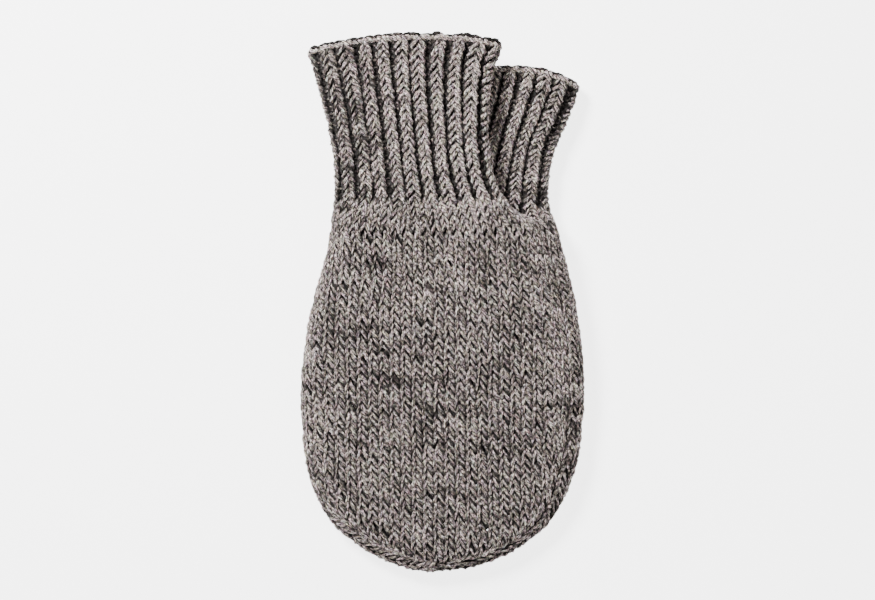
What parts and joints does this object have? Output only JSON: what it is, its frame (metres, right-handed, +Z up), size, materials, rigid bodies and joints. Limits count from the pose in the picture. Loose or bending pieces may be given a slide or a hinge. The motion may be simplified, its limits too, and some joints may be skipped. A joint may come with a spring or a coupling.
{
  "type": "two-handed mitten",
  "caption": "Knitted wool mitten for holding hands inside it: a closed hand bag with separate ribbed cuffs that fold and swing at the wrist.",
  "frame": {"origin": "centre of the footprint on the surface the mitten lies on", "axes": "+Y from the toe to the cuffs, +X to the right seen from above with the cuffs away from the viewer, +Z up through the front"},
  "size_m": [0.1446, 0.273, 0.0284],
  "materials": {
    "wool_stocking_stitch": "heathered wool knit",
    "wool_rib": "heathered wool rib knit",
    "wool_seam": "heathered wool seam"
  },
  "bodies": {
    "hand": {"front_panel": "wool_stocking_stitch", "back_panel": "wool_stocking_stitch", "right_side_band": "wool_stocking_stitch", "left_side_band": "wool_stocking_stitch", "toe_closing": "wool_seam", "crotch_bridge": "wool_seam"},
    "front_wrist_tube": {"front_wrist": "wool_stocking_stitch"},
    "front_cuff": {"front_cuff_rib": "wool_rib", "front_cuff_edge": "wool_rib"},
    "rear_wrist_tube": {"rear_wrist": "wool_stocking_stitch"},
    "rear_cuff": {"rear_cuff_rib": "wool_rib", "rear_cuff_edge": "wool_rib"}
  },
  "joints": [
    {"name": "front_wrist_swing", "type": "hinge", "parent": "hand", "child": "front_wrist_tube", "pos_m": [-0.0047, 0.036, 0.0214], "axis": [0, 0, 1], "range_deg": [-8, 8]},
    {"name": "front_cuff_fold", "type": "hinge", "parent": "front_wrist_tube", "child": "front_cuff", "pos_m": [-0.0114, 0.05, 0.0284], "axis": [1, 0, 0], "range_deg": [0, 80]},
    {"name": "rear_wrist_swing", "type": "hinge", "parent": "hand", "child": "rear_wrist_tube", "pos_m": [0.0047, 0.036, 0.007], "axis": [0, 0, 1], "range_deg": [-8, 8]},
    {"name": "rear_cuff_fold", "type": "hinge", "parent": "rear_wrist_tube", "child": "rear_cuff", "pos_m": [0.011, 0.05, 0], "axis": [1, 0, 0], "range_deg": [-80, 0]}
  ]
}
